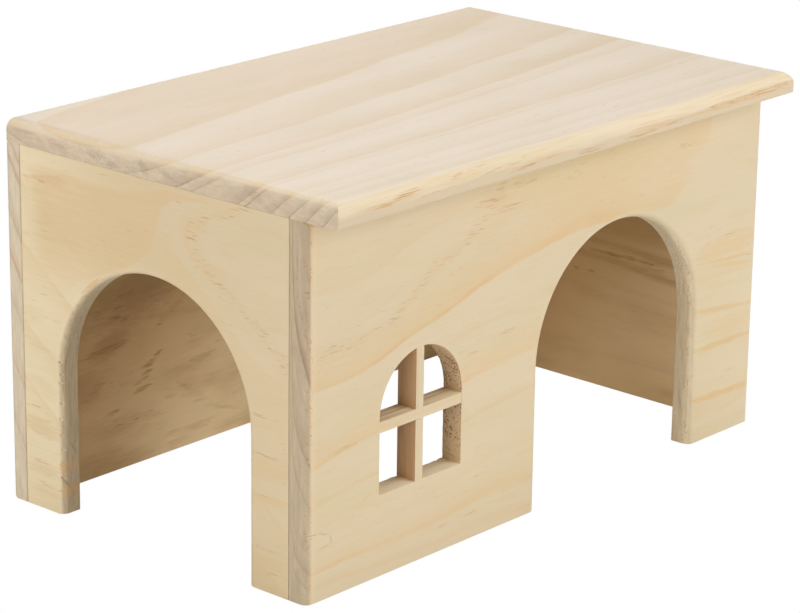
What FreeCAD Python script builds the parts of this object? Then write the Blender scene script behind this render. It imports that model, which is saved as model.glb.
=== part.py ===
"""Small-animal house of glued pine boards, in millimetres, +Z up.

The house stands on the lower edges of its four wall boards and has no floor.  The long front and back boards run
the full length and cover the edges of the two end boards between them.  One roof board lies on all four: it is
flush with both ends, stands a hair past the back and oversails the front as an eave.  The front board has an
arched doorway and a small arched window, whose two glazing bars are halved over each other; the left end board
has a second doorway of the same size.

The origin is at floor level, under the middle of the roof board.  +X runs along the length, towards the end with
no doorway, and the front faces -Y.
"""

import FreeCAD
import Part

import math
import os

from FreeCAD import Vector

# Driving dimensions
BODY_LENGTH = 180.0            # over the front board, end to end
BODY_DEPTH = 105.0             # over the outer faces of the front and back boards
WALL_HEIGHT = 96.0             # floor to the underside of the roof
FRONT_THICKNESS = 6.0
BACK_THICKNESS = 6.0
END_THICKNESS = 6.0
ROOF_THICKNESS = 6.0
ROOF_EAVE = 9.5                # how far the roof oversails the front board
ROOF_BACK_LIP = 0.5            # how far the roof stands past the back board

DOORWAY_WIDTH = 66.0
DOORWAY_HEIGHT = 71.2          # floor to the crown of the arch
DOORWAY_ROUND = 2.1            # rounding of a doorway's outer edge
FRONT_DOORWAY_OFFSET = 119.2   # left end of the house to the middle of the front doorway

WINDOW_WIDTH = 30.4
WINDOW_HEIGHT = 34.8           # sill to the crown of the arch
WINDOW_SILL = 21.4             # floor to the sill
WINDOW_OFFSET = 40.8           # left end of the house to the middle of the window

BAR_WIDTH = 2.8                # sight width of a glazing bar
UPRIGHT_OFFSET = 14.6          # left jamb of the window to the middle of the upright bar
CROSS_BAR_OFFSET = 17.5        # sill to the middle of the cross bar

WALL_END_ROUND = 2.2           # rounding of the upright outer edges of the front and back boards
ROOF_TOP_ROUND = 3.6           # rounding of the roof's upper edges
ROOF_LOWER_ROUND = 0.4         # easing of the roof's lower edges

# Places that follow from the driving dimensions
ROOF_DEPTH = ROOF_EAVE + BODY_DEPTH + ROOF_BACK_LIP
LEFT = -BODY_LENGTH / 2
RIGHT = BODY_LENGTH / 2
ROOF_FRONT = -ROOF_DEPTH / 2
FRONT_FACE = ROOF_FRONT + ROOF_EAVE
FRONT_INNER = FRONT_FACE + FRONT_THICKNESS
BACK_FACE = FRONT_FACE + BODY_DEPTH
BACK_INNER = BACK_FACE - BACK_THICKNESS
END_BOARD_DEPTH = BACK_INNER - FRONT_INNER
FRONT_DOORWAY_MIDDLE = LEFT + FRONT_DOORWAY_OFFSET
END_DOORWAY_MIDDLE = (FRONT_FACE + BACK_FACE) / 2
WINDOW_MIDDLE = LEFT + WINDOW_OFFSET
UPRIGHT_MIDDLE = WINDOW_MIDDLE - WINDOW_WIDTH / 2 + UPRIGHT_OFFSET
CROSS_BAR_MIDDLE = WINDOW_SILL + CROSS_BAR_OFFSET
HALVING_FACE = FRONT_FACE + FRONT_THICKNESS / 2

NEAR = 1e-4                    # how close two places count as the same


def along_front(x, z):
    """A point of the front board's outer face."""
    return Vector(x, FRONT_FACE, z)


def along_left_end(y, z):
    """A point of the left end board's outer face."""
    return Vector(LEFT, y, z)


def polyline(points):
    """Straight edges from each point to the next."""
    return [Part.makeLine(start, end) for start, end in zip(points, points[1:])]


def arch_edges(place, middle, foot, width, height):
    """Jamb, round head and jamb of an arched opening, from its left foot to its right foot."""
    radius = width / 2
    spring = foot + height - radius
    left = middle - radius
    right = middle + radius
    head = Part.Arc(place(left, spring), place(middle, spring + radius), place(right, spring))
    left_jamb = Part.makeLine(place(left, foot), place(left, spring))
    right_jamb = Part.makeLine(place(right, spring), place(right, foot))
    return [left_jamb, head.toShape(), right_jamb]


def doorway_board_wire(place, start, end, doorway_middle):
    """Outline of a wall board that stands on the floor either side of an arched doorway."""
    left = doorway_middle - DOORWAY_WIDTH / 2
    right = doorway_middle + DOORWAY_WIDTH / 2
    edges = polyline([place(start, 0), place(left, 0)])
    edges += arch_edges(place, doorway_middle, 0, DOORWAY_WIDTH, DOORWAY_HEIGHT)
    around = [place(right, 0), place(end, 0), place(end, WALL_HEIGHT), place(start, WALL_HEIGHT), place(start, 0)]
    edges += polyline(around)
    return Part.Wire(edges)


def window_wire():
    """Outline of the arched window, on the front board's outer face."""
    edges = arch_edges(along_front, WINDOW_MIDDLE, WINDOW_SILL, WINDOW_WIDTH, WINDOW_HEIGHT)
    left = WINDOW_MIDDLE - WINDOW_WIDTH / 2
    right = WINDOW_MIDDLE + WINDOW_WIDTH / 2
    edges += polyline([along_front(right, WINDOW_SILL), along_front(left, WINDOW_SILL)])
    return Part.Wire(edges)


def box(low, high):
    """Box between two opposite corners."""
    size = high - low
    return Part.makeBox(size.x, size.y, size.z, low)


def edges_of(shape, belongs):
    """Edges whose every point, sampled at both ends and the middle, belongs to a place."""
    chosen = []
    for edge in shape.Edges:
        middle = edge.valueAt((edge.FirstParameter + edge.LastParameter) / 2)
        points = [vertex.Point for vertex in edge.Vertexes] + [middle]
        if all(belongs(point) for point in points):
            chosen.append(edge)
    return chosen


def round_wall_ends(board, outer_face):
    """Round the two upright edges of a long wall board's outer face."""
    def at_end(point):
        return abs(abs(point.x) - RIGHT) < NEAR and abs(point.y - outer_face) < NEAR
    return board.makeFillet(WALL_END_ROUND, edges_of(board, at_end))


def round_doorway(board, middle, across, outward):
    """Round a doorway's outer edge; across runs along the wall, outward gives the distance from its outer face."""
    radius = DOORWAY_WIDTH / 2
    spring = DOORWAY_HEIGHT - radius

    def on_doorway_edge(point):
        side = across(point) - middle
        rise = max(point.z - spring, 0)
        return abs(outward(point)) < NEAR and abs(math.hypot(side, rise) - radius) < NEAR
    return board.makeFillet(DOORWAY_ROUND, edges_of(board, on_doorway_edge))


def make_front_board():
    """Long front board with the doorway and the window."""
    outline = doorway_board_wire(along_front, LEFT, RIGHT, FRONT_DOORWAY_MIDDLE)
    face = Part.makeFace([outline, window_wire()], "Part::FaceMakerBullseye")
    board = face.extrude(Vector(0, FRONT_THICKNESS, 0))
    board = round_wall_ends(board, FRONT_FACE)
    return round_doorway(board, FRONT_DOORWAY_MIDDLE, lambda p: p.x, lambda p: p.y - FRONT_FACE)


def make_back_board():
    """Long back board, with no opening."""
    board = box(Vector(LEFT, BACK_INNER, 0), Vector(RIGHT, BACK_FACE, WALL_HEIGHT))
    return round_wall_ends(board, BACK_FACE)


def make_left_end_board():
    """End board with the second doorway, held between the long boards."""
    outline = doorway_board_wire(along_left_end, FRONT_INNER, BACK_INNER, END_DOORWAY_MIDDLE)
    board = Part.Face(outline).extrude(Vector(END_THICKNESS, 0, 0))
    return round_doorway(board, END_DOORWAY_MIDDLE, lambda p: p.y, lambda p: p.x - LEFT)


def make_right_end_board():
    """Plain end board, held between the long boards."""
    low = Vector(RIGHT - END_THICKNESS, FRONT_INNER, 0)
    return box(low, low + Vector(END_THICKNESS, END_BOARD_DEPTH, WALL_HEIGHT))


def make_roof_board():
    """Roof board, with its upper edges well rounded and its lower edges eased."""
    top = WALL_HEIGHT + ROOF_THICKNESS
    board = box(Vector(LEFT, ROOF_FRONT, WALL_HEIGHT), Vector(RIGHT, ROOF_FRONT + ROOF_DEPTH, top))
    board = board.makeFillet(ROOF_TOP_ROUND, edges_of(board, lambda p: abs(p.z - top) < NEAR))
    return board.makeFillet(ROOF_LOWER_ROUND, edges_of(board, lambda p: abs(p.z - WALL_HEIGHT) < NEAR))


def window_space():
    """The window's clear space, as deep as the front board."""
    return Part.Face(window_wire()).extrude(Vector(0, FRONT_THICKNESS, 0))


def crossing(near_face, far_face):
    """The block where the two bars cross, between two depths of the window."""
    half = BAR_WIDTH / 2
    low = Vector(UPRIGHT_MIDDLE - half, near_face, CROSS_BAR_MIDDLE - half)
    high = Vector(UPRIGHT_MIDDLE + half, far_face, CROSS_BAR_MIDDLE + half)
    return box(low, high)


def make_window_upright():
    """Upright bar from the sill to the arch, coped to it, with the front half cut away at the crossing."""
    half = BAR_WIDTH / 2
    low = Vector(UPRIGHT_MIDDLE - half, FRONT_FACE, WINDOW_SILL)
    high = Vector(UPRIGHT_MIDDLE + half, FRONT_INNER, WINDOW_SILL + WINDOW_HEIGHT)
    return box(low, high).common(window_space()).cut(crossing(FRONT_FACE, HALVING_FACE))


def make_window_cross_bar():
    """Level bar from jamb to jamb, whole in front of the upright and cut away behind it at the crossing."""
    half = BAR_WIDTH / 2
    low = Vector(WINDOW_MIDDLE - WINDOW_WIDTH / 2, FRONT_FACE, CROSS_BAR_MIDDLE - half)
    high = Vector(WINDOW_MIDDLE + WINDOW_WIDTH / 2, FRONT_INNER, CROSS_BAR_MIDDLE + half)
    return box(low, high).common(window_space()).cut(crossing(HALVING_FACE, FRONT_INNER))


PIECES = {
    "front_board": make_front_board,
    "back_board": make_back_board,
    "left_end_board": make_left_end_board,
    "right_end_board": make_right_end_board,
    "roof_board": make_roof_board,
    "window_upright_bar": make_window_upright,
    "window_cross_bar": make_window_cross_bar,
}


def main():
    os.makedirs("parts", exist_ok=True)
    for name, make in PIECES.items():
        piece, = make().Solids
        piece.exportStep(os.path.join("parts", name + ".step"))


main()
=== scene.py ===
"""Looks of the pine small-animal house: boards, glazing bars, their grain, and the studio it stands in."""

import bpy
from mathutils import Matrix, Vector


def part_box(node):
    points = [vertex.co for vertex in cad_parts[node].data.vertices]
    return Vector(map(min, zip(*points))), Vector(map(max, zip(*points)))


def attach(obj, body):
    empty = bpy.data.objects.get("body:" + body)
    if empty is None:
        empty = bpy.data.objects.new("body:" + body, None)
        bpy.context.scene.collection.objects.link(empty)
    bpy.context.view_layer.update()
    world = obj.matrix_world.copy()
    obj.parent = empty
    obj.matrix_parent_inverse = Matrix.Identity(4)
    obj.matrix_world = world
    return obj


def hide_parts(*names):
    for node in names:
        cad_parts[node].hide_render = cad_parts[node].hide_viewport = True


bl_info = {
    "name": "Pine Small-Animal House",
    "version": (1, 0, 0),
    "blender": (4, 5, 0),
    "location": "View3D > Sidebar > Pine House",
    "description": "Makes the boards and glazing bars of a small pine animal house, with their grain",
    "category": "Object",
}

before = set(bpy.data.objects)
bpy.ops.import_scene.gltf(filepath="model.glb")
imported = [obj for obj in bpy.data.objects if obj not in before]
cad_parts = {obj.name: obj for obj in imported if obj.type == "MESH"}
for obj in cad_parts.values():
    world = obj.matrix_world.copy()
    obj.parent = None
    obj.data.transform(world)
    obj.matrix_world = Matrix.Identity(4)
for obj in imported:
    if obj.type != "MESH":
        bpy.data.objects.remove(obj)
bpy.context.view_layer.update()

import math

import bpy
from bpy.props import FloatProperty, FloatVectorProperty, PointerProperty
from bpy.types import Operator, Panel, PropertyGroup
from mathutils import Color, Matrix, Vector

MM = 0.001
NEAR = 1e-6                     # metres within which two places count as the same
MERGE = 0.01 * MM               # points closer together than this become one after the wood is torn
CLEAR = 5 * MM                  # how far a cutter reaches past what it cuts
SHARP = math.radians(50)        # edges sharper than this are sanded
SMOOTH = math.radians(30)       # edges blunter than this are shaded smooth
ROUND_STEPS = 8                 # facets of a rounded edge
SLICE = 0.8 * MM                # between the cuts that let the saw tear the window's edge
LAYER = 0.5 * MM                # the same, through the board
TEAR_START = 3 * MM             # how deep in the board the saw begins to tear it
TEAR_GROWTH = 3 * MM            # and over what depth the tearing grows
TEAR_SIZE = 1.3 * MM            # how long and wide the tears are
X, Y, Z = 0, 1, 2

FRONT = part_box("front_board")
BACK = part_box("back_board")
LEFT_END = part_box("left_end_board")
RIGHT_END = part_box("right_end_board")
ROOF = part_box("roof_board")
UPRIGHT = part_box("window_upright_bar")
CROSS_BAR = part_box("window_cross_bar")

LOW, HIGH = 0, 1                # the two corners of a box
LEFT_FACE = FRONT[LOW].x
RIGHT_FACE = FRONT[HIGH].x
FRONT_FACE = FRONT[LOW].y
BACK_FACE = BACK[HIGH].y
THROUGH_FRONT = (FRONT_FACE - CLEAR, FRONT[HIGH].y + CLEAR)
BEHIND_FRONT = (LEFT_END[LOW].y - FRONT_FACE) / MM      # millimetres from the front face to an end board

LIGHT_SIZE = 0.7                # metres, each way
LIGHT_DISTANCE = 1.1            # metres from the middle of the house
HOUSE_MIDDLE = Vector((0, 0, 0.05))
# Lights: name, bearing from the right end and height in degrees, and tint
LIGHTS = (
    ("left", 186, 10, (1, 0.94, 0.88)), ("corner", 215, 35, (1, 0.87, 0.72)),
    ("front", 298, 20, (1, 0.97, 0.95)), ("high", 280, 50, (0.75, 0.87, 1)),
    ("top", 0, 90, (0.96, 0.97, 1)), ("back", 58, 10, (1, 0.97, 0.93)),
)
# The camera's place in metres and the ways its right, upper and rear sides face
CAMERA_PLACE = (-0.6064025, -0.5329863, 0.3078827)
CAMERA_SIDES = (
    (0.6653244, -0.7464398, 0.0130819), (0.2238874, 0.2162128, 0.9503297),
    (-0.7121923, -0.6293486, 0.3109701),
)


# Sizes and colours

def length(name, description, default):
    """A length that a user may change."""
    return FloatProperty(
        name=name, description=description, default=default, min=0, unit="LENGTH", precision=5)


def colour(name, description, default):
    """A colour that a user may change."""
    return FloatVectorProperty(
        name=name, description=description, default=default, subtype="COLOR", min=0, max=1)


def power(name, description, default):
    """The power of a light, which a user may change."""
    return FloatProperty(name=name, description=description, default=default, min=0, unit="POWER")


class HouseSizes(PropertyGroup):
    """Sizes of the openings and of the worked edges."""
    doorway_width: length("Doorway width", "Clear width of both doorways", 0.066)
    doorway_crown: length("Doorway crown", "Floor to the crown of a doorway's arch", 0.0712)
    front_doorway: length("Front doorway offset", "Left end of the house to the doorway's middle", 0.1192)
    doorway_round: length("Doorway rounding", "Radius of a doorway's outer edge", 0.0021)
    window_width: length("Window width", "Clear width of the window", 0.0304)
    window_sill: length("Window sill", "Floor to the sill of the window", 0.0214)
    window_crown: length("Window crown", "Floor to the crown of the window's arch", 0.0562)
    window_offset: length("Window offset", "Left end of the house to the middle of the window", 0.0408)
    end_round: length("Board end rounding", "Radius of the long boards' upright outer edges", 0.0022)
    roof_round: length("Roof top rounding", "Radius of the roof board's upper edges", 0.0036)
    roof_front_ease: length("Roof front easing", "Radius of the roof board's lower front edge", 0.0008)
    roof_corner: length("Roof corner", "Radius of the roof board's far left upright corner", 0.0028)
    right_corner: length("Roof right corner", "Radius of the roof board's far right upright corner", 0.0012)
    near_corners: length("Roof near corners", "Radius of the roof board's front upright corners", 0.0004)
    arris: length("Eased arris", "Width of the sanded arrises of the wall boards", 0.00025)
    bar_arris: length("Bar arris", "Width of the sanded arrises of the glazing bars", 0.00012)
    saw_tear: length("Saw tear", "How far the window's back edge is torn by the saw", 0.0005)


class PineColours(PropertyGroup):
    """Colours of the wood, and the painted light, shade and sheen laid on some of its faces."""
    early: colour("Early wood", "Pale wood between the growth rings", (0.72, 0.605, 0.41))
    end_early: colour("End board's early wood", "Pale wood at the back of the left end", (0.85, 0.735, 0.5))
    late: colour("Late wood", "Tan side of each growth ring", (0.72, 0.545, 0.305))
    line: colour("Ring line", "Orange line where a growth ring ends", (0.72, 0.48, 0.235))
    resin: colour("Resin canal", "Short dashes along the grain", (0.48, 0.285, 0.125))
    end: colour("End grain", "Wood cut across the grain", (0.66, 0.555, 0.385))
    end_line: colour("End grain line", "Growth ring cut across the grain", (0.44, 0.31, 0.2))
    # A browner tone on the window's inner sides that don't face up.
    window_brown: colour("Sawn window edge", "Browned wood inside the window", (0.72, 0.52, 0.3))
    # Painted sheen: the roof's flat top takes this cooler, paler colour in place of grazing reflection from
    # the bright surroundings.
    painted_sheen: colour("Planed roof top", "Cooler tone of the roof's planed upper face", (0.78, 0.68, 0.55))
    rim: colour("Roof rim", "Pale wood on the rounding of the roof's ends", (0.77, 0.66, 0.5))
    pit: colour("Pit", "Pits in wood cut across the grain", (0.28, 0.155, 0.065))
    bar_side: colour("Bar side", "Browned sides of the glazing bars", (0.53, 0.32, 0.16))
    back_end: colour("Back board's end", "End grain of the back board", (0.72, 0.64, 0.49))
    back_end_line: colour("Back board's end line", "Growth ring in the back board's end", (0.56, 0.36, 0.21))
    # Painted light: this pale colour is laid where more light falls: the upward faces inside the window and
    # on the glazing bars, and the rounded outer part of the front doorway's right jamb.
    sill: colour("Window sill", "Pale wood of the window's sill", (1, 0.86, 0.6))
    jamb: colour("End doorway's jamb", "Greyer end grain in the end doorway", (0.645, 0.54, 0.36))
    worn: colour("Worn edge", "Warm tone of the rounded edges", (0.8, 0.61, 0.39))
    strip: colour("Front board's end", "Greyer end grain of the front board", (0.545, 0.45, 0.315))
    strip_line: colour("Front board's end line", "Ring in the front board's end", (0.33, 0.225, 0.145))
    joint: colour("Joint line", "Shade in a glued joint", (0.4, 0.28, 0.16))
    inside: colour("Inner face", "Wood of the browner inner faces", (0.745, 0.505, 0.252))
    inside_late: colour("Inner late wood", "Late wood of the inner faces", (0.6, 0.38, 0.165))
    # Painted light: the next two colours pale the inner faces where more light falls, low down and near the
    # doorways.
    painted_light_inner: colour("Inner sapwood", "Palest wood of the inner faces", (0.935, 0.765, 0.478))
    painted_light_warm: colour("Inner warm wood", "Warm pale wood of the right end's inner face", (0.97, 0.76, 0.46))
    inside_resin: colour("Inner resin", "Dashes on the inner faces", (0.3, 0.165, 0.07))
    # Painted shade: darkens the back board's inner face at its upper left.
    inside_shade: colour("Inner shade", "Red-brown cloud on the back board's inner face", (0.44, 0.26, 0.125))
    roof_late: colour("Roof late wood", "Tan streaks of the roof's upper face", (0.7, 0.53, 0.34))
    warm_edge: colour("Roof's warm edge", "Orange-tan streaks on the roof's front edge", (0.72, 0.53, 0.31))
    fibre: colour("Torn fibre", "Brown dashes where fibres lifted from an edge", (0.52, 0.315, 0.145))
    roof_end: colour("Roof end grain", "Paler end grain of the roof", (0.66, 0.553, 0.415))
    roof_end_line: colour("Roof end line", "Growth ring in the roof's end", (0.31, 0.2, 0.125))


class StudioLook(PropertyGroup):
    """Camera and light."""
    lens: FloatProperty(
        name="Lens", description="Focal length on a 36 mm sensor", default=144.38, min=20, unit="CAMERA")
    sky: FloatProperty(name="Sky", description="Strength of the light from all round", default=0.01, min=0)
    left: power("Left light", "Power of the low light at the left end", 5.7)
    corner: power("Corner light", "Power of the light at the near corner", 1.4)
    front: power("Front light", "Power of the low light before the front", 6.1)
    high: power("High light", "Power of the high light before the front", 1.3)
    top: power("Top light", "Power of the light above", 8.75)
    back: power("Back light", "Power of the low light behind the right end", 3.2)
    floor: colour("Floor", "Colour of the plain floor", (0.93, 0.93, 0.93))


# Modelling

def close(first, second):
    """Whether two places along an axis are the same."""
    return abs(first - second) < NEAR


def deselect():
    """Leave nothing selected."""
    if bpy.context.object and bpy.context.object.mode != "OBJECT":
        bpy.ops.object.mode_set(mode="OBJECT")
    bpy.ops.object.select_all(action="DESELECT")


def activate(piece):
    """Make a piece the only one selected, and the active one."""
    deselect()
    piece.select_set(True)
    bpy.context.view_layer.objects.active = piece


def open_piece(piece, action):
    """Open a piece in edit mode by its edges, with all or nothing of it selected."""
    activate(piece)
    bpy.ops.object.mode_set(mode="EDIT")
    bpy.ops.mesh.select_mode(type="EDGE")
    bpy.ops.mesh.select_all(action=action)


def add_block(name, low, high):
    """Rough block between two corners, with its place in its mesh."""
    deselect()
    bpy.ops.mesh.primitive_cube_add(size=1, location=(low + high) / 2, scale=high - low)
    block = bpy.context.object
    bpy.ops.object.transform_apply()
    block.name = block.data.name = name
    return block


def choose_edges(piece, wanted):
    """Set which edges of an open piece are selected: wanted is asked with an edge and its two ends."""
    bpy.ops.object.mode_set(mode="OBJECT")
    points = piece.data.vertices
    for edge in piece.data.edges:
        edge.select = wanted(edge, [points[i].co for i in edge.vertices])
    bpy.ops.object.mode_set(mode="EDIT")


def bevel_edges(piece, belongs, width, segments=ROUND_STEPS):
    """Round the edges of a piece whose two ends belong to a place."""
    open_piece(piece, "DESELECT")
    choose_edges(piece, lambda edge, ends: all(belongs(end) for end in ends))
    bpy.ops.mesh.bevel(offset=width, segments=segments, affect="EDGES", clamp_overlap=False)
    bpy.ops.object.mode_set(mode="OBJECT")


def ease_arrises(piece, width):
    """Sand every sharp edge of a piece a little, but not the joint between the walls and the roof."""
    open_piece(piece, "DESELECT")
    bpy.ops.mesh.edges_select_sharp(sharpness=SHARP)
    choose_edges(piece, lambda edge, ends: edge.select and not all(close(end.z, ROOF[LOW].z) for end in ends))
    bpy.ops.mesh.bevel(offset=width, segments=2, affect="EDGES", clamp_overlap=True)
    bpy.ops.object.mode_set(mode="OBJECT")


def round_long_board(board, outer, radius):
    """Round the upright edges at both ends of a long board's outer face."""
    ends = (LEFT_FACE, RIGHT_FACE)
    bevel_edges(board, lambda p: close(p.y, outer) and any(close(p.x, end) for end in ends), radius)


def apply_modifier(piece, kind, **settings):
    """Add a modifier with its settings and apply it."""
    activate(piece)
    made = piece.modifiers.new(kind.title(), kind)
    for name, value in settings.items():
        setattr(made, name, value)
    bpy.ops.object.modifier_apply(modifier=made.name)


def cut(piece, cutter, operation="DIFFERENCE"):
    """Cut a piece with a cutter, which is used up."""
    apply_modifier(piece, "BOOLEAN", operation=operation, solver="EXACT", object=cutter)
    bpy.data.objects.remove(cutter)


def add_arch_cutter(through, middle, foot, crown, width, near, far):
    """Round-headed bar that passes through a wall board along the X or Y axis."""
    radius = width / 2
    spring = crown - radius
    place = Vector((middle, middle, spring))
    place[through] = (near + far) / 2
    turn = (0, math.pi / 2, 0) if through == X else (math.pi / 2, 0, 0)
    deselect()
    bpy.ops.mesh.primitive_cylinder_add(
        vertices=128, radius=radius, depth=far - near, location=place, rotation=turn)
    cutter = bpy.context.object
    bpy.ops.object.transform_apply()
    bpy.ops.object.mode_set(mode="EDIT")
    bpy.ops.mesh.select_mode(type="FACE")
    bpy.ops.mesh.select_all(action="SELECT")
    bpy.ops.mesh.bisect(plane_co=(0, 0, spring), plane_no=(0, 0, 1), use_fill=True, clear_inner=True)
    bpy.ops.mesh.select_all(action="DESELECT")
    bpy.ops.object.mode_set(mode="OBJECT")
    for face in cutter.data.polygons:
        face.select = face.normal.z < -0.9
    bpy.ops.object.mode_set(mode="EDIT")
    bpy.ops.mesh.extrude_region_move(TRANSFORM_OT_translate={"value": (0, 0, foot - spring)})
    bpy.ops.mesh.select_all(action="SELECT")
    bpy.ops.mesh.normals_make_consistent(inside=False)
    bpy.ops.object.mode_set(mode="OBJECT")
    return cutter


def add_window_cutter(sizes, foot):
    """Round-headed bar that passes through the window, from a foot up to the crown."""
    middle = LEFT_FACE + sizes.window_offset
    return add_arch_cutter(Y, middle, foot, sizes.window_crown, sizes.window_width, *THROUGH_FRONT)


def cut_doorway(board, through, middle, outer, inner, sizes):
    """Cut an arched doorway through a wall board along an axis and round its outer edge."""
    across = Y if through == X else X
    radius = sizes.doorway_width / 2
    spring = sizes.doorway_crown - radius
    arch = (-CLEAR, sizes.doorway_crown, sizes.doorway_width, outer - CLEAR, inner + CLEAR)
    cut(board, add_arch_cutter(through, middle, *arch))

    def on_outer_edge(point):
        reach = math.hypot(point[across] - middle, max(point.z - spring, 0))
        return close(point[through], outer) and abs(reach - radius) < 10 * NEAR
    bevel_edges(board, on_outer_edge, sizes.doorway_round)


def tear_edge(board, tears, radius, centre, gouge_of):
    """Tear a rounded edge at the left of the house, whose rounding is centred at a place along Y.

    gouge_of takes a reach and a tilt. It gives the half sizes of a leaf-shaped gouge in millimetres and its
    turn in degrees.
    """
    for height, inset, reach, tilt in tears:
        size, turn = gouge_of(reach, tilt)
        depth = math.sqrt(radius ** 2 - (radius - inset * MM) ** 2)
        place = (LEFT_FACE + inset * MM, centre - depth, height * MM)
        deselect()
        bpy.ops.mesh.primitive_ico_sphere_add(
            subdivisions=2, radius=1, location=place, rotation=[math.radians(angle) for angle in turn],
            scale=[half * MM for half in size])
        gouge = bpy.context.object
        bpy.ops.object.transform_apply()
        cut(board, gouge)
    open_piece(board, "SELECT")
    bpy.ops.mesh.remove_doubles(threshold=MERGE)
    bpy.ops.object.mode_set(mode="OBJECT")


def slice_finely(piece, axis, start, end, step):
    """Add edge loops across a piece, a step apart between two places."""
    direction = Vector((0, 0, 0))
    direction[axis] = 1
    activate(piece)
    bpy.ops.object.mode_set(mode="EDIT")
    for count in range(1, round((end - start) / step)):
        bpy.ops.mesh.select_all(action="SELECT")
        bpy.ops.mesh.bisect(plane_co=direction * (start + count * step), plane_no=direction)
    bpy.ops.object.mode_set(mode="OBJECT")


def finish_piece(piece, node, material):
    """Smooth a finished piece, give it its wood and put it in its node's place."""
    activate(piece)
    bpy.ops.object.shade_smooth_by_angle(angle=SMOOTH)
    apply_modifier(piece, "WEIGHTED_NORMAL", keep_sharp=True, weight=100)
    piece.data.materials.clear()
    piece.data.materials.append(material)
    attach(piece, "root")
    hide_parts(node)


# Shader wiring

def arithmetic(operation, swapped=False):
    """An operator between values, as a Math node."""
    def work(value, *terms):
        terms = (*terms, value) if swapped else (value, *terms)
        return value.wiring.make("Math", enumerate(terms), operation=operation)
    return work


class Value:
    """A number, colour or place under way in a shader. Sums are made of it as of known numbers."""

    __add__ = arithmetic("ADD")
    __sub__ = arithmetic("SUBTRACT")
    __rsub__ = arithmetic("SUBTRACT", swapped=True)
    __mul__ = arithmetic("MULTIPLY")
    __truediv__ = arithmetic("DIVIDE")
    __abs__ = arithmetic("ABSOLUTE")
    __or__ = arithmetic("MAXIMUM")              # first | second is the larger one
    times = arithmetic("MULTIPLY_ADD")          # value.times(factor, start)
    less_than = arithmetic("LESS_THAN")
    root = arithmetic("SQRT")

    def __init__(self, wiring, socket):
        self.wiring, self.socket = wiring, socket

    def step(self, low, high, to_low=0, to_high=1, shape="SMOOTHSTEP"):
        """Change from one level to another while this goes from low to high."""
        feeds = {"Value": self, "From Min": low, "From Max": high, "To Min": to_low, "To Max": to_high}
        return self.wiring.make("MapRange", feeds, interpolation_type=shape)

    def patch(self, low, soft_low, high, soft_high):
        """Mask between two places, each with its own softness."""
        rise = self.step(low - soft_low, low + soft_low)
        return rise * self.step(high - soft_high, high + soft_high, 1, 0)

    def mix(self, first, second):
        """Number between two numbers, by this mask."""
        return self.wiring.make("Mix", {0: self, 2: first, 3: second})

    def blend(self, first, second):
        """Colour between two colours, by this mask."""
        return self.wiring.parts("Mix", {0: self, 6: first, 7: second}, data_type="RGBA")[2]

    def per(self, cell):
        """These coordinates, counted in cells of a size each way."""
        return self.wiring.make("VectorMath", {0: self, 1: cell}, operation="DIVIDE")

    def noise(self, cell, detail=2, roughness=0.5):
        """Cloudy value between 0 and 1, whose clouds are about a cell long each way."""
        feeds = {"Vector": self.per(cell), "Scale": 1, "Detail": detail, "Roughness": roughness}
        return self.wiring.make("TexNoise", feeds)

    def curve(self, points, reach):
        """This value bent through points, each a place and its level, in millimetres up to a reach."""
        bent = self.wiring.node("FloatCurve", {"Value": self / reach})
        bent.mapping.use_clip = False
        line = bent.mapping.curves[0]
        for place, level in points[1:-1]:
            line.points.new(place / reach, level / reach)
        for point, (place, level) in zip(line.points, points):
            point.location = (place / reach, level / reach)
        bent.mapping.update()
        return Value(self.wiring, bent.outputs[0]) * reach

    def ramp(self, stops, reach):
        """A level that changes between stops, each a place in millimetres up to a reach and its level."""
        made = self.wiring.node("ValToRGB", {0: self / reach})
        for place, level in stops[1:-1]:
            made.color_ramp.elements.new(place / reach)
        past = 0
        for element, (place, level) in zip(made.color_ramp.elements, stops):
            past = max(past, place / reach)
            element.position = past
            element.color = (level, level, level, 1)
        return Value(self.wiring, made.outputs[0])


class Wiring:
    """Adds nodes to a shader tree, fed by known values or by values under way."""

    def __init__(self, tree):
        self.tree = tree

    def feed(self, socket, value):
        """Link a socket, or set its value. A colour gets its alpha."""
        if isinstance(value, Value):
            self.tree.links.new(value.socket, socket)
        else:
            socket.default_value = (*value, 1) if isinstance(value, Color) else value

    def node(self, kind, feeds=(), **settings):
        """A node of a kind, or a shared group by its name, with its settings and its fed inputs."""
        shared = bpy.data.node_groups.get(kind)
        made = self.tree.nodes.new("ShaderNodeGroup" if shared else "ShaderNode" + kind)
        if shared:
            made.node_tree = shared
        for name, value in settings.items():
            setattr(made, name, value)
        for key, value in dict(feeds).items():
            self.feed(made.inputs[key], value)
        return made

    def parts(self, kind, feeds=(), **settings):
        """All outputs of a new node."""
        return [Value(self, socket) for socket in self.node(kind, feeds, **settings).outputs]

    def make(self, kind, feeds=(), **settings):
        """First output of a new node."""
        return self.parts(kind, feeds, **settings)[0]


def new_material(name):
    """Empty material and its wiring."""
    material = bpy.data.materials.new(name)
    material.use_nodes = True
    material.node_tree.nodes.clear()
    return material, Wiring(material.node_tree)


# Shared effects. Vector runs along the grain in X, and lengths are in millimetres

def cell(along, across):
    """Size of a cell that lies along the grain."""
    return along.wiring.make("CombineXYZ", {0: along, 1: across, 2: across})


def wood_fibre(place, along, across):
    """Fine streaks along the grain."""
    return [place.noise(cell(along, across), 4, 0.6)]


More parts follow.
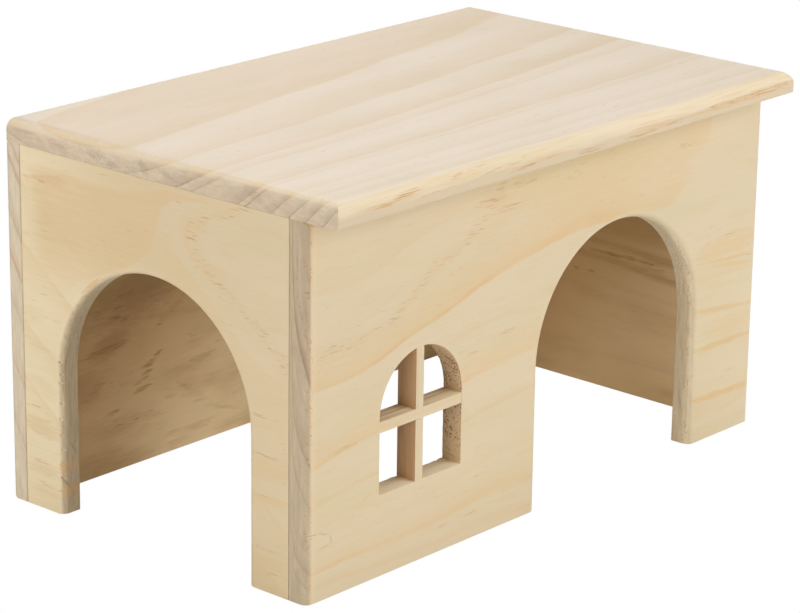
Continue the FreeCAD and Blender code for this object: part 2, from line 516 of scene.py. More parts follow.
def resin_canals(place, along, across, share):
    """Resin canals: thin dashes on long grain, dots on end grain. Share is how many places hold one."""
    wiring = place.wiring
    distance, tint = wiring.parts("TexVoronoi", {"Vector": place.per(cell(along, across)), "Scale": 1})[:2]
    chance = wiring.parts("SeparateColor", {0: tint})
    present = chance[0].less_than(share)
    core = distance / (chance[1] * chance[1]).times(0.18, 0.1)
    inside = core.step(0.35, 1, 1, 0)
    depth = chance[2].times(0.75, 0.25)
    return [inside * present * depth]


def hair_pores(place, crowd):
    """Crowded hair-thin dashes. Crowd is how much of the wood they take, from 0 to 1."""
    hairs = place.noise((4.4, 0.27, 0.27), 1)
    return [(hairs - crowd.times(-0.27, 0.74)).step(0, 0.09)]


def end_pits(place, crowd):
    """Small holes in wood cut across the grain. Crowd is how much of the wood they take, from 0 to 1."""
    holes = place.noise((0.9, 0.55, 0.55), 1)
    return [(holes - crowd.times(-0.235, 0.8)).step(0, 0.08)]


def ring_wander(place, swing, teeth):
    """How far a growth ring wanders from its even line: slow swings and fibre-wise teeth."""
    slow = place.noise((38, 20, 20), 1)
    fine = place.noise((8, 0.8, 0.8))
    return [(slow - 0.5) * swing + (fine - 0.5) * teeth]


def sanded_pine(late_wood, ring_line, streaks, cloud, ragged, pores, canals, end_grain,
                early, late, line, resin, end, end_line):
    """Colour, roughness and height of sanded pine from its rings, fibre, canals and end grain."""
    tan = (late_wood * (1 - late_wood) * ragged).times(2.6, late_wood)
    tan = (cloud - 0.5).times(0.45, tan)
    face = tan.wiring.make("Clamp", {"Value": tan}).blend(early, late)
    face = ring_line.blend(face, line)
    face = (pores * 0.5).blend(face, resin)
    cross = (late_wood * 0.45).blend(end, end_line)
    cross = (ring_line * 0.9).blend(cross, end_line)
    wood = end_grain.blend(face, cross)
    grain = (streaks - 0.5).times(end_grain.times(0.44, 0.11), 1)
    value = (cloud - 0.5).times(-0.1, grain)
    hue = (cloud - 0.5).times(0.02, 0.5)
    wood = wood.wiring.make("HueSaturation", {"Color": wood, "Value": value, "Hue": hue})
    wood = canals.blend(wood, resin)
    roughness = end_grain.times(0.1, streaks.times(0.2, 0.5))
    ridge = streaks.times(0.35, late_wood * 0.2)
    return [wood, roughness, ridge - pores.times(0.4, canals)]


# Each group's function, its inputs and its outputs
PINE_COLOURS = ("Early", "Late", "Line", "Resin", "End", "End line")
PINE_LEVELS = ("Late wood", "Ring line", "Streaks", "Cloud", "Ragged", "Pores", "Canals", "End grain")
GROUPS = {
    "Wood fibre": (wood_fibre, ("Vector", "Length", "Width"), ("Streaks",)),
    "Resin canals": (resin_canals, ("Vector", "Length", "Width", "Share"), ("Canals",)),
    "Hair pores": (hair_pores, ("Vector", "Crowd"), ("Pores",)),
    "End pits": (end_pits, ("Vector", "Crowd"), ("Pits",)),
    "Ring wander": (ring_wander, ("Vector", "Swing", "Teeth"), ("Offset",)),
    "Sanded pine": (sanded_pine, PINE_LEVELS + PINE_COLOURS, ("Colour", "Roughness", "Height")),
}
SOCKET_KINDS = {"Vector": "Vector", **dict.fromkeys((*PINE_COLOURS, "Colour"), "Color")}


def make_groups():
    """Build each shared group that isn't there yet."""
    for name, (work, given, results) in GROUPS.items():
        if name in bpy.data.node_groups:
            continue
        group = bpy.data.node_groups.new(name, "ShaderNodeTree")
        for way, labels in (("INPUT", given), ("OUTPUT", results)):
            for label in labels:
                kind = "NodeSocket" + SOCKET_KINDS.get(label, "Float")
                group.interface.new_socket(name=label, in_out=way, socket_type=kind)
        wiring = Wiring(group)
        inputs = group.nodes.new("NodeGroupInput").outputs
        outputs = group.nodes.new("NodeGroupOutput").inputs
        made = work(*(Value(wiring, inputs[label]) for label in given))
        for label, value in zip(results, made):
            wiring.feed(outputs[label], value)


class Rings:
    """What growth rings do to a place in a board: its tan, its ring line and its crowd of dashes."""

    def __init__(self, late, line, crowd):
        self.late, self.line, self.crowd = late, line, crowd


class Board:
    """A wood material under way, with its own coordinates in millimetres from the board's low corner."""

    def __init__(self, name, low, grain, seed):
        self.material, self.wiring = new_material(name)
        coordinates = self.wiring.node("TexCoord").outputs["Object"]
        feeds = {0: Value(self.wiring, coordinates), 1: low}
        place = self.wiring.make("VectorMath", feeds, operation="SUBTRACT")
        self.place = self.wiring.make("VectorMath", {0: place, "Scale": 1 / MM}, operation="SCALE")
        self.x, self.y, self.z = self.wiring.parts("SeparateXYZ", {0: self.place})
        order = {X: (self.x, self.y, self.z), Y: (self.y, self.x, self.z), Z: (self.z, self.x, self.y)}[grain]
        along = self.wiring.make("CombineXYZ", enumerate(order))
        shift = (seed * 37, seed * 11, seed * 17)
        self.along = self.wiring.make("VectorMath", {0: along, 1: shift}, operation="ADD")
        normal = self.wiring.node("NewGeometry").outputs["Normal"]
        self.normal = self.wiring.parts("SeparateXYZ", {0: Value(self.wiring, normal)})
        self.end = abs(self.normal[grain]).step(0.35, 0.85)

    def wander(self, swing, teeth):
        """How far a growth ring wanders here."""
        return self.wiring.make("Ring wander", {"Vector": self.along, "Swing": swing, "Teeth": teeth})

    def rings(self, distance, plan, reach, base=0, swing=3, teeth=1, edge=0.3, thin=1.2):
        """Rings from a plan: each ring's place, tan level, fade, line level and crowd of dashes."""
        moved = distance + self.wander(swing, teeth)
        late, line, crowd = [], [], []
        for place, tan, fade, orange, dashes in plan:
            late += [(place - edge, base), (place + edge, tan), (place + fade, base)]
            line += [(place - edge, 0), (place + edge, orange), (place + edge + thin, 0)]
            few = dashes * 0.08
            crowd += [(place - 2, few), (place + fade * 0.8, dashes), (place + fade + 2, few)]
        return Rings(*(moved.ramp(stops, reach) for stops in (late, line, crowd)))

    def smudges(self, along, across, rows, torn=0.9):
        """Fibrous marks on a face. Each row is a place, its half length and width, its tilt and its level."""
        fibres = self.along.noise((4, 0.7, 0.7))
        face = self.wiring.make("CombineXYZ", {0: along, 1: across})
        total = 0
        for count, (near, up, reach, width, tilt, level) in enumerate(rows):
            # Every third mark waits for the one before it, because a shader holds few values at a time
            if count % 3 == 2:
                face = self.wiring.make("CombineXYZ", {0: total.times(1e-9, along), 1: across})
            feeds = {"Vector": face, "Location": (near, up, 0), "Rotation": (0, 0, math.radians(tilt)),
                     "Scale": (reach, width, 1)}
            inner = self.wiring.make("Mapping", feeds, vector_type="TEXTURE")
            distance = self.wiring.parts("VectorMath", {0: inner}, operation="LENGTH")[1]
            total = fibres.times(torn, distance).step(0.3 + torn / 2, 1.1 + torn / 2, level, 0) | total
        return total

    def joint(self, place):
        """Broken dark line of a glued joint at a place along Y, on the faces that look left."""
        broken = self.along.noise((1.5, 1.5, 3)).step(0.35, 0.6, 0.25, 0.55)
        near = self.y.patch(place - 0.28, 0.08, place + 0.28, 0.08)
        return broken * (near * self.normal[X].step(-0.75, -0.35, 1, 0))

    def scratches(self, strength):
        """Saw scratches that run up a jamb."""
        return self.place.noise((0.5, 0.5, 6), 3).step(0.48, 0.66, 0, strength)

    def finish(self, rings, colours, changes, canals, pores=0.6, tone=(), pits=0.2, scratch=(1.1, 1.1, 7),
               flames=0.35):
        """Wire the wood to the surface.

        changes are inputs of the sanded pine that differ from the colours. tone holds masks and colours laid
        over it. canals, pores and flames say how strong the figure is. pits and scratch mark the wood's ends.
        """
        wiring = self.wiring
        fibre = wiring.make("Wood fibre", {"Vector": self.along, "Length": 30, "Width": 0.5})
        streaks = self.end.mix(fibre, self.place.noise(scratch, 4, 0.65))
        cloud = self.along.noise((55, 13, 13))
        strokes = wiring.make("Wood fibre", {"Vector": self.along, "Length": 9, "Width": 0.9})
        share = rings.crowd.times(canals, canals * 0.04)
        spread = {"Vector": self.along, "Length": 7, "Width": 0.6, "Share": share}
        dashes = wiring.make("Resin canals", spread)
        hairs = wiring.make("Hair pores", {"Vector": self.along, "Crowd": rings.crowd * pores})
        line = rings.line * self.along.noise((22, 5, 5), 1).step(0.32, 0.62, 0.25, 1)
        late = rings.late | self.along.noise((16, 3, 3), 3).step(0.5, 0.72, 0, flames)
        levels = (late, line, streaks, cloud, strokes - 0.5, hairs, dashes, self.end)
        tints = (colours.early, colours.late, colours.line, colours.resin, colours.end, colours.end_line)
        feeds = {**dict(zip(PINE_LEVELS, levels)), **dict(zip(PINE_COLOURS, tints)), **changes}
        wood, roughness, height = wiring.parts("Sanded pine", feeds)
        for mask, over in tone:
            wood = mask.blend(wood, over)
        holes = wiring.make("End pits", {"Vector": self.along, "Crowd": pits})
        wood = (holes * 0.75 * self.end).blend(wood, colours.pit)
        bump = wiring.make("Bump", {"Strength": 0.6, "Distance": 0.06 * MM, "Height": height})
        surface = wiring.make("BsdfPrincipled", {
            "Base Color": wood, "Roughness": roughness, "Normal": bump, "Specular IOR Level": 0.3})
        wiring.node("OutputMaterial", {0: surface})
        return self.material


# Growth rings of each board: place, tan level, fade, line level and crowd of dashes.
# Places and fades are in millimetres
FRONT_RINGS = (
    (2.8, 0.3, 2, 0.2, 0.2), (7, 0.5, 4.5, 0.35, 0.5), (12, 0.25, 3, 0.1, 0.6), (23.4, 0.3, 3, 0.35, 0.5),
    (34.2, 0.7, 9, 0.4, 0.9), (45.8, 0.2, 3, 0.15, 0.3), (54.2, 0.85, 11, 0.85, 1),
    (67.5, 0.2, 6, 0.1, 0.3), (78, 0.3, 8, 0.1, 0.4),
)
LEFT_END_RINGS = (
    (14, 0, 2, 0, 0), (27, 0.25, 2.5, 0.1, 1), (33, 0.45, 26, 0, 0.3), (66, 0.35, 10, 0.15, 0.5),
    (82, 0.45, 13, 0.2, 0.4), (103, 0.35, 8, 0.15, 0.4), (118, 0.4, 8, 0.2, 0.4),
)
# Line of dashes that the front board's broad ring carries on its upper side
FRONT_DASH_LINE = (
    (0, 63.8), (25, 63.8), (34, 67.7), (43, 73.6), (52, 77.3), (61, 81.5), (67, 85), (74, 92), (180, 150),
)
# Marks on a face: place along the grain and across it, half length and half width in millimetres,
# tilt in degrees, and level
FRONT_MARKS = (
    (73.5, 52, 5, 0.9, 0, 0.9), (60, 49.5, 3, 0.7, 0, 0.8), (62.5, 54, 2, 0.6, 0, 0.6),
    (144, 85.5, 5, 0.9, 0, 0.7), (139.5, 80, 2.5, 0.8, 30, 0.8), (126, 76, 3, 0.7, 20, 0.7),
    (69, 89.5, 5, 2.2, 35, 0.9), (98.5, 86.5, 3, 0.7, 0, 0.5), (83, 91, 4, 0.8, 0, 0.5),
    (157, 56.5, 4, 1.2, 5, 0.7), (170, 18, 3.5, 0.9, 0, 0.6), (12, 37, 5, 1.2, 10, 0.7),
    (23, 24, 6, 0.7, 40, 0.6), (48, 15, 4, 0.6, 0, 0.5), (62, 16.5, 4, 0.6, 0, 0.6),
    (70, 30, 5, 0.6, 8, 0.5), (17, 76, 3, 0.6, 0, 0.4), (66, 87.5, 8, 2, 0, 1), (72, 84.6, 7, 1.4, 0, 0.9),
    (79, 89.8, 8, 1.2, 0, 0.8), (98, 87.6, 6, 1.2, 5, 0.8), (145.5, 86.3, 9, 1.3, -4, 0.9),
    (35.5, 8.2, 4, 0.7, 0, 0.7), (46.5, 6.7, 7, 0.7, 0, 0.7), (60, 6.8, 5, 0.7, 0, 0.7),
    (75, 6.6, 5, 0.7, -4, 0.6), (68.5, 11.4, 4, 0.8, 3, 0.6), (16.5, 23.3, 6, 0.7, 3, 0.6),
    (12, 37, 10, 1.4, 8, 0.6), (168, 57, 12, 1.2, 0, 0.6),
)
# Tan clouds and streaks, each given as the marks are
FRONT_TANS = (
    (166, 54.2, 20, 3.8, 0, 0.8), (168, 48.6, 13, 1.3, -8, 0.9), (168, 31, 15, 4.4, 0, 0.6),
    (170, 7.5, 5, 0.8, 0, 0.6), (92, 87, 40, 9, -2, 0.45), (70, 84, 16, 7, 30, 0.4),
)
FRONT_STREAKS = (
    (165.5, 36.6, 19, 1.1, -6, 0.85), (166, 26.7, 19, 1.2, 0, 1), (166, 11.9, 20, 1.4, -2, 1),
    (165, 50.6, 16, 0.7, -4, 0.8),
)
# A curved crack near the front board's left foot
FRONT_CRACK = (
    (2.2, 17.9, 2.4, 0.28, -2, 1), (5.8, 17.2, 2.4, 0.28, -17, 1), (8.5, 15.2, 1.7, 0.28, -80, 1),
    (6.4, 13.8, 2.2, 0.28, 3, 0.8),
)
LEFT_END_TANS = (
    (88, 89, 11, 2.4, -4, 0.95), (93, 44, 9, 1.6, 15, 0.4), (12, 32, 12, 3.6, 0, 0.5),
    (12, 24.2, 11, 1.4, 0, 0.7), (12, 43.5, 11, 2.4, 0, 0.4), (12, 8, 11, 2.2, 0, 0.45),
    (93, 22.5, 11, 3.4, 3, 0.5), (92, 11, 9, 2.4, 0, 0.4), (92, 5, 8, 1.3, 4, 0.35),
    (93, 34, 10, 2.2, 8, 0.3), (10, 54, 9, 2, 12, 0.4),
)
# Painted shade on the back board's inner face: a red-brown cloud, darkest at the upper left, where less light
# reaches inside.
BACK_SHADE = ((40, 48.5, 22, 10.5, 12, 0.9), (30, 36, 9, 5, 20, 0.7), (20, 26, 9, 6, 10, 0.4))
# Streaks in a doorway's jamb: height and inset, half sizes in millimetres, tilt and level
FRONT_JAMB_MARKS = (
    (45, 3.2, 4, 0.35, -8, 0.6), (36, 2.2, 5, 0.35, -10, 0.5), (30, 4.4, 3, 0.3, 0, 0.5),
    (12.5, 3.6, 3.5, 0.5, 12, 0.8), (41, 0.5, 1.2, 0.4, 40, 0.8), (52, 1.2, 6, 0.5, 10, 0.6),
)
WINDOW_TEARS = ((24.4, 4.2, 0.3, 1.6, -25, 1), (22.9, 3.2, 0.28, 2.6, -12, 1), (26, 5.4, 0.8, 0.3, 30, 0.8))
END_JAMB_MARKS = (
    (41, 1.8, 4.5, 0.45, 5, 0.8), (35.5, 1, 3.5, 0.35, -5, 0.7), (17.5, 4, 3, 0.45, -30, 0.7),
    (13.5, 1, 2.6, 0.5, -35, 0.9), (9, 1.2, 3, 0.6, -35, 1), (6, 3.2, 2.5, 0.4, -30, 0.7),
    (27, 3, 8, 0.5, 3, 0.4),
)
BACK_MARKS = (
    (37.5, 48.3, 2.6, 1, 40, 0.9), (34.6, 48.2, 2.6, 0.8, 5, 0.8), (33, 45.2, 3.2, 0.8, 8, 0.9),
    (32, 42.6, 3.4, 1, 8, 1), (36.5, 42, 3.2, 0.9, 8, 0.9), (47.2, 29.2, 3, 0.7, 20, 0.8),
    (43.8, 27, 3.4, 1, 12, 1), (43.1, 24.8, 2.6, 0.8, 8, 0.9), (41.8, 23.2, 2.6, 0.7, 5, 0.7),
    (39.4, 22.4, 2.4, 0.6, 5, 0.7), (41.2, 20.6, 4.2, 1, 8, 0.95), (29, 34.7, 12, 1.8, 6, 0.8),
    (30.5, 16.6, 4, 0.7, 6, 0.8), (57, 17.5, 6, 1.4, -30, 0.6), (72, 7.5, 9, 0.9, -18, 0.4),
    (38, 13, 17, 2.2, -5, 0.45), (63, 24, 8, 1.8, 5, 0.6), (52, 40, 9, 1.6, 30, 0.5),
    (24, 24, 7, 2, 30, 0.5), (120, 40, 12, 3, -20, 0.8), (150, 70, 14, 2.5, -10, 0.8),
)
RIGHT_END_MARKS = (
    (42, 40.2, 18, 0.9, 0, 1), (32, 38.6, 8, 1.2, -4, 0.7), (53, 43, 3.5, 0.9, 0, 1),
    (52.6, 33.7, 1.8, 0.7, 0, 1), (58, 33.4, 1.6, 0.6, 0, 0.9), (30, 36.3, 4, 1, 0, 0.6),
    (44, 27, 12, 1.5, 3, 0.3), (70, 60, 12, 2, 4, 0.8),
)
LEFT_END_MARKS = (
    (96, 51.5, 5.5, 0.9, 8, 0.55), (97.5, 47.6, 2.5, 0.6, 0, 0.4), (12.5, 44.9, 9, 0.8, 0, 0.8),
    (12, 35, 9, 0.8, 4, 0.9), (12, 11.2, 9, 0.8, 0, 0.8), (12, 5.2, 8, 0.7, -5, 0.7),
    (95, 27.4, 7, 0.8, 0, 0.55), (94, 13, 7, 0.9, 2, 0.6), (91, 6.8, 6, 0.8, 6, 0.6),
    (92, 20, 6, 0.7, 3, 0.5),
)
# The hook of dashes in the left end and the edge of its tan cloud, as heights and places along the board
HOOK = (
    (0, 6), (58, 6.5), (63, 11), (67, 16), (71.5, 23.3), (75, 29.4), (78.7, 33.6), (82, 37.3), (86, 38.4),
    (89, 35.5), (92, 27), (96, 19.5), (110, 0),
)
CLOUD_EDGE = (
    (0, 100), (62, 80), (72.5, 59.5), (78.5, 52.5), (86.6, 50), (91, 47.5), (93, 42), (94.5, 34.5),
    (110, 0),
)
# Warm spots on the rounding of the end doorway
END_ROUND_MARKS = ((73.6, 65.2, 6, 1, -39, 1), (86, 12.8, 2.4, 0.8, 90, 1), (85.8, 6.4, 2, 0.8, 90, 1))
BACK_RINGS = (
    (6, 0.6, 6, 0.3, 0.8), (17, 0.5, 7, 0.3, 0.6), (30, 0.9, 5, 0.6, 1), (40, 0.9, 6, 0.6, 1),
    (50, 0.7, 4, 0.5, 0.7), (57, 1, 8, 0.7, 1), (74, 0.7, 5, 0.3, 1), (84, 0.7, 6, 0.4, 1),
    (96, 0.5, 8, 0.3, 0.8),
)
RIGHT_END_RINGS = (
    (10, 0.4, 4, 0.2, 0.3), (20, 0.3, 4, 0.2, 0.3), (31.5, 0.5, 2.5, 0.3, 0.6), (38, 1, 2.5, 0.8, 1),
    (42.6, 1, 5, 0.8, 1), (58, 0.7, 6, 0.4, 0.7), (72, 0.6, 5, 0.4, 0.7), (85, 0.6, 7, 0.4, 0.7),
)
ROOF_RINGS = (
    (6.2, 0.65, 2, 0.7, 0.4), (10, 0.7, 2.5, 0.5, 0.5), (13.7, 0.5, 2, 0.8, 0.4), (17.4, 0.7, 3, 0.5, 0.4),
    (22.8, 0.5, 1.2, 0.9, 0.3), (24.3, 0.8, 4.5, 0.9, 0.4), (32.1, 0.5, 1.9, 0.8, 0.3),
    (34.5, 0.8, 4, 0.8, 0.3), (40.2, 0.5, 4.5, 0.4, 0.2), (46.1, 0.6, 3.5, 0.4, 0.2),
)
ROOF_FRONT_MARKS = (
    (24, 3.8, 7, 0.9, 5, 1), (45, 4.6, 8, 0.8, 2, 0.9), (70, 2.2, 10, 0.7, 3, 1), (92, 1.2, 8, 0.8, 2, 1),
    (113, 1.4, 9, 0.9, 3, 1), (126, 1.8, 8, 0.8, 0, 1), (163, 2.8, 24, 1.1, 1, 1), (14, 3, 10, 0.6, 0, 0.8),
    (58, 3.4, 9, 0.5, 2, 0.7), (84, 3.4, 9, 0.5, 2, 0.6), (143, 2.6, 9, 0.6, 2, 0.9),
)
ROOF_FRONT_TANS = (
    (20, 3.2, 16, 1.2, 2, 0.7), (45, 3.9, 14, 1, 2, 0.6), (118, 1.8, 14, 1.2, 1, 0.9),
    (158, 2.4, 26, 1.3, 1, 1), (75, 2.6, 14, 0.8, 1, 0.5),
)
ROOF_END_MARKS = (
    (94, 2.2, 4, 1.4, 10, 0.9), (81, 2.6, 3.5, 1.2, 0, 0.9), (75, 1.2, 2.5, 1, 0, 0.9),
    (64, 2.5, 3, 1.4, 40, 1), (56, 2.4, 4, 1.2, 20, 0.8), (106, 3.6, 5, 0.7, 0, 0.8),
    (27, 3.2, 5, 1.6, 20, 0.6),
)
# Rings in the back board's left end, as heights at its inner side
BACK_END_RINGS = (
    (14, 0.5, 5, 0.4, 0.2), (30, 0.7, 9, 0.7, 0.3), (46, 0.5, 5, 0.3, 0.2), (58, 0.9, 6, 0.9, 0.5),
    (69.3, 0.8, 6, 0.9, 0.5), (84.2, 0.9, 3.5, 0.9, 0.5), (89.4, 0.7, 2.5, 0.6, 0.5),
)
# Hill in the back board's rings, along the board
BACK_HILL = (
    (0, 0), (20, 3), (34, 7), (50, 12), (58, 12.5), (66, 9), (74, 3), (84, -4), (120, -14), (180, -20),
)
# Tears on the front board's rounded left edge: height, inset and half length in millimetres,
# and tilt in degrees
GOUGES = (
    (16.9, 0.45, 0.75, 35), (15.1, 0.75, 0.5, 35), (78.9, 0.5, 0.8, 12), (77.6, 0.9, 0.4, 20),
    (41.3, 0.7, 0.45, 10), (37.6, 0.6, 0.6, 8), (36.2, 0.9, 0.4, 15), (62.1, 0.8, 0.35, 10),
    (70.4, 0.7, 0.3, 14), (53, 0.9, 0.35, 8),
)
# Tears on the far rounded edge of the end doorway: height, inset and half length in millimetres,
# and tilt in degrees
END_GOUGES = (
    (6.5, 0.5, 0.9, 20), (9.8, 0.8, 0.7, 30), (13.4, 0.6, 0.9, 25), (17.6, 1, 0.7, 20),
    (21.5, 0.7, 0.6, 30), (30.2, 0.9, 0.6, 15), (35.8, 0.5, 0.8, 20), (38, 0.9, 0.6, 12),
    (41.3, 0.6, 0.5, 20), (26, 0.5, 0.5, 15),
)
# How far the front board's rings lean back through its thickness
FRONT_LEAN = ((0, 0), (0.6, 2.1), (1.2, 4), (2.6, 6.8), (3.7, 9.3), (4.5, 13), (5, 17.3), (6, 28))
# How far the front board's rings rise along it, low down and high up
FRONT_LOW_RISE = ((0, 0), (11, 2), (25, 3.7), (57, 8.6), (86, 11.2), (120, 12), (150, 12), (180, 10.8))
FRONT_HIGH_RISE = (
    (0, 0), (22, 0.1), (35, 5), (47, 8), (57, 10.8), (76, 15.2), (93, 18.7), (112, 20.7), (137, 23.7),
    (145, 28.7), (153, 32), (160, 41), (180, 62),
)


def front_level(board):
    """Height of a place in the front board, as if its rings ran level."""
    low = board.x.curve(FRONT_LOW_RISE, 180) * board.z.step(4, 26, shape="LINEAR")
    high = board.x.curve(FRONT_HIGH_RISE, 180)
    near = board.x.times(0.1, 44)
    far = board.x.times(0.25, 54)
    rise = board.z.step(near, far).mix(low, high)
    lean = board.y.curve(FRONT_LEAN, 30) * board.z.times(0.02, 0.3)
    return board.z - rise - lean


def mark_front_face(board, rings):
    """Add the tan clouds, the streaks and the dashes to the front board's rings."""
    rings.late = rings.late * board.x.step(104, 140, 1, 0.5)
    rings.late |= board.smudges(board.x, board.z, FRONT_TANS, 1.2)
    rings.line *= board.x.step(100, 135, 1, 0.25)
    streaks = board.smudges(board.x, board.z, FRONT_STREAKS, 1.2)
    streaks *= 1 - board.end
    rings.late |= streaks
    rings.line |= streaks * 0.5
    above = board.z - board.x.curve(FRONT_DASH_LINE, 180)
    dashes = above.patch(-1.9, 1.6, 1.9, 1.6) * board.x.step(66, 74, 0.68, 0)
    marks = board.smudges(board.x, board.z, FRONT_MARKS) | dashes
    rings.crowd = rings.crowd * 0.22 | marks
    rings.line |= marks * 0.3


def brown_front_end(board, level):
    """Brown of the front board's left end: a broad ring, a dotted line above it, and painted shade of the
    roof's overhang at its upper outer edge.
    """
    own_end = board.x.step(2.2, 3.5, 1, 0)
    rounded = (board.normal[X] * -1).step(0.02, 0.6)
    board.end |= own_end * rounded
    ring = level + board.wander(3, 1)
    dots = board.place.noise((9, 0.5, 1.1)).step(0.42, 0.6)
    dotted = ring.patch(62.6, 0.5, 64, 0.6) * board.z.step(74, 80, 1, 0)
    upright = board.y.patch(2.95, 0.25, 3.45, 0.25) * board.z.step(72, 80)
    dotted = (dotted | upright) * dots
    # Painted shade: the end's upper part near the front face, under the roof's overhang, is browned.
    outer = board.y.step(1.2, 2.4, 0.55, 0) * board.z.step(63, 75)
    brown = ring.patch(54.3, 0.5, 57, 3) | (dotted | outer)
    return brown * 0.5 * (own_end * board.end)


def front_pine(colours):
    """Broad rings that rise over the doorway and lean back through the board."""
    board = Board("front_pine", FRONT[LOW], X, 1)
    level = front_level(board)
    past = level - 54.5 | 0
    slack = board.x.step(66, 112, 0, -0.82)
    rings = board.rings(past.times(slack, level), FRONT_RINGS, 100, 0.02)
    mark_front_face(board, rings)
    worn = board.x.step(1.2, 4.2, 0.6, 0)
    worn *= abs(board.normal[X]).step(0.05, 0.35, 1, 0)
    brown = brown_front_end(board, level)
    crack = board.smudges(board.x, board.z, FRONT_CRACK, 0.25)
    up_face = board.normal[Z].step(0.3, 0.8)
    window = board.z.patch(20.5, 0.01, 57, 0.01) * board.x.patch(24.8, 0.01, 56.8, 0.01)
    off_face = abs(board.normal[Y]).step(0.5, 0.8, 1, 0)
    window *= off_face
    right_jamb = board.x.patch(142, 4, 153.5, 0.5) * off_face
    specks = board.place.noise((0.55, 0.55, 0.6), 1).step(0.56, 0.67)
    clumps = board.place.noise((9, 9, 5), 1).step(0.42, 0.6)
    worn_edge = board.x.patch(0.15, 0.1, 1.9, 0.5) | right_jamb * board.y.step(1, 3, 0.8, 0.3)
    specks = specks * clumps * worn_edge
    jamb = right_jamb * board.smudges(board.z, board.y, FRONT_JAMB_MARKS)
    scratched = board.scratches(0.5) * right_jamb
    tears = board.smudges(board.z, board.y, WINDOW_TEARS, 0.5)
    tears = tears * window * board.x.step(50, 54)
    end = board.x.step(3, 8).blend(colours.strip, colours.end)
    end_line = board.x.step(3, 8).blend(colours.strip_line, colours.end_line)
    # A browner tone on the window's inner sides that don't face up.
    window_brown = window * up_face.step(0, 1, 0.75, 0)
    tone = (
        # Painted light: the sill colour pales the rounded outer part of the front doorway's right jamb, where
        # light falls more; the darker flat part keeps the end grain's own tone.
        (right_jamb * board.y.step(1.2, 3.4, 0.5, 0.12), colours.sill), (worn, colours.worn),
        (specks * 0.8, colours.fibre), (crack * 0.5, colours.fibre), (brown, colours.strip_line),
        # Painted light: the upward faces inside the window take the pale sill colour.
        (window_brown, colours.window_brown), (window * up_face, colours.sill),
        ((jamb | scratched) * 0.45, colours.strip_line), (tears * 0.7, colours.fibre),
        (board.joint(6), colours.joint),
    )
    patchy = board.place.noise((9, 4, 7)).step(0.35, 0.65, 0.8, 1.5)
    low = board.z.step(24, 33, 0.5, 1) * board.z.step(49, 54, 1, 0.3)
    pits = window.mix(0.3, patchy * low)
    return board.finish(rings, colours, {"End": end, "End line": end_line}, 0.6, 0.8, tone, pits)


def inner_colours(colours, inside, pale, lit_tone):
    """Browner wood on a board's inner face, which goes over to a painted-light tone where its pale mask says
    more light falls.
    """
    inner = pale.blend(colours.inside, lit_tone)
    return {
        "Early": inside.blend(colours.early, inner), "Late": inside.blend(colours.late, colours.inside_late),
        "Resin": inside.blend(colours.resin, colours.inside_resin),
    }


def back_pine(colours):
    """Hill-shaped rings with strong resin, on a board that is browner inside."""
    board = Board("back_pine", BACK[LOW], X, 2)
    level = board.z + 24 - board.x.curve(BACK_HILL, 180)
    lean = board.y.times(-2, level)
    rings = board.rings(lean, BACK_RINGS, 110, 0.1, swing=7, teeth=4, edge=1.3)
    own_end = board.x.step(1, 3)
    marks = board.smudges(board.x, board.z, BACK_MARKS, 1.3)
    clouds = board.along.noise((30, 11, 11)).step(0.4, 0.75, 0, 0.55)
    inside = board.normal[Y].step(-0.9, -0.5, 1, 0)
    flat = clouds | marks * 0.75
    flat = inside.mix(rings.late * 0.7, flat)
    soft = rings.line * inside.step(0, 1, 0.6, 0.2)
    shade = board.smudges(board.x, board.z, BACK_SHADE, 1)
    inner_end = (6 - board.y).times(-0.1, board.z)
    strip = board.rings(board.y.times(-1.85, inner_end), BACK_END_RINGS, 110, 0.1, 2, 1.5, 0.35)
    rings.late = own_end.mix(strip.late, flat)
    rings.line = own_end.mix(strip.line, soft)
    rings.crowd = rings.crowd * 0.2 | marks
    # Painted light: the inner face pales towards the bottom and the right, where light through the front
    # doorway and off the floor falls.
    pale = board.z.times(-1.3, board.x.times(0.6, 10)).step(-25, 43)
    changes = inner_colours(colours, inside, pale, colours.painted_light_inner)
    tone = ((shade * inside * 0.65, colours.inside_shade), (board.joint(0), colours.joint))
    changes["End"] = own_end.blend(colours.back_end, colours.end)
    changes["End line"] = own_end.blend(colours.back_end_line, colours.end_line)
    return board.finish(rings, colours, changes, 0.22, 1, tone)


def left_end_cloud(board, inward, drift):
    """Mask of the tan cloud above the end doorway."""
    across = inward + drift
    upright = drift.times(0.4, board.z)
    past = across - board.z.curve(CLOUD_EDGE, 110)
    top = (upright - inward.step(45, 62, 4, 0)).step(90, 93, 1, 0)
    cloud = past.step(-0.8, 0.8) * across.step(88, 99, 1, 0)
    return cloud * (top * upright.step(54, 76))


